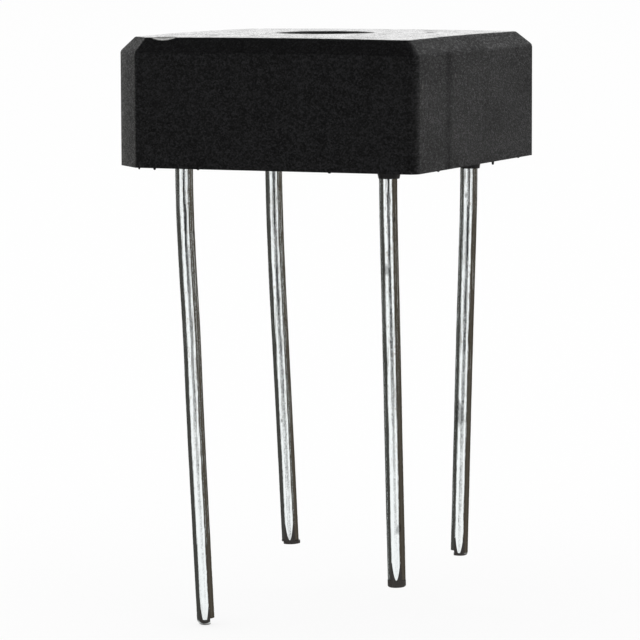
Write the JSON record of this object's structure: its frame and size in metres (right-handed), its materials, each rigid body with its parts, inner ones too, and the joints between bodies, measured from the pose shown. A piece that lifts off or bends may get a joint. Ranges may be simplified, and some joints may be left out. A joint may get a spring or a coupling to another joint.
{
  "type": "bridge rectifier",
  "caption": "Square moulded single-phase bridge rectifier with a central screw hole, a cut corner that marks plus, and stiff round wire leads.",
  "frame": {"origin": "on the axis of the screw hole, in the plane of the case's lower rim", "axes": "+Z out of the top face that goes against a heat sink, with the leads pointing along -Z; the cut corner that marks the plus lead is at -X -Y"},
  "size_m": [0.0152, 0.0152, 0.0275],
  "materials": {
    "case_plastic": "black moulded plastic, fine matt grain",
    "potting_epoxy": "black cast epoxy, satin",
    "tinned_wire": "hot-tinned copper wire, bright with fine draw lines",
    "copper_strap": "stamped bare copper",
    "silicon": "silicon with a metallised face",
    "solder": "dull reflowed solder"
  },
  "bodies": {
    "root": {"case_shell": "case_plastic", "potting_fill": "potting_epoxy", "lead_plus": "tinned_wire", "lead_ac_1": "tinned_wire", "lead_ac_2": "tinned_wire", "lead_minus": "tinned_wire", "strap_plus": "copper_strap", "strap_ac_1": "copper_strap", "strap_ac_2": "copper_strap", "strap_minus": "copper_strap", "solder_lead_plus": "solder", "solder_lead_ac_1": "solder", "solder_lead_ac_2": "solder", "solder_lead_minus": "solder", "die_ac_1_to_plus": "silicon", "die_ac_2_to_plus": "silicon", "die_minus_to_ac_1": "silicon", "die_minus_to_ac_2": "silicon", "solder_above_die_ac_1_to_plus": "solder", "solder_above_die_ac_2_to_plus": "solder", "solder_above_die_minus_to_ac_1": "solder", "solder_above_die_minus_to_ac_2": "solder", "solder_below_die_ac_1_to_plus": "solder", "solder_below_die_ac_2_to_plus": "solder", "solder_below_die_minus_to_ac_1": "solder", "solder_below_die_minus_to_ac_2": "solder"}
  },
  "joints": []
}
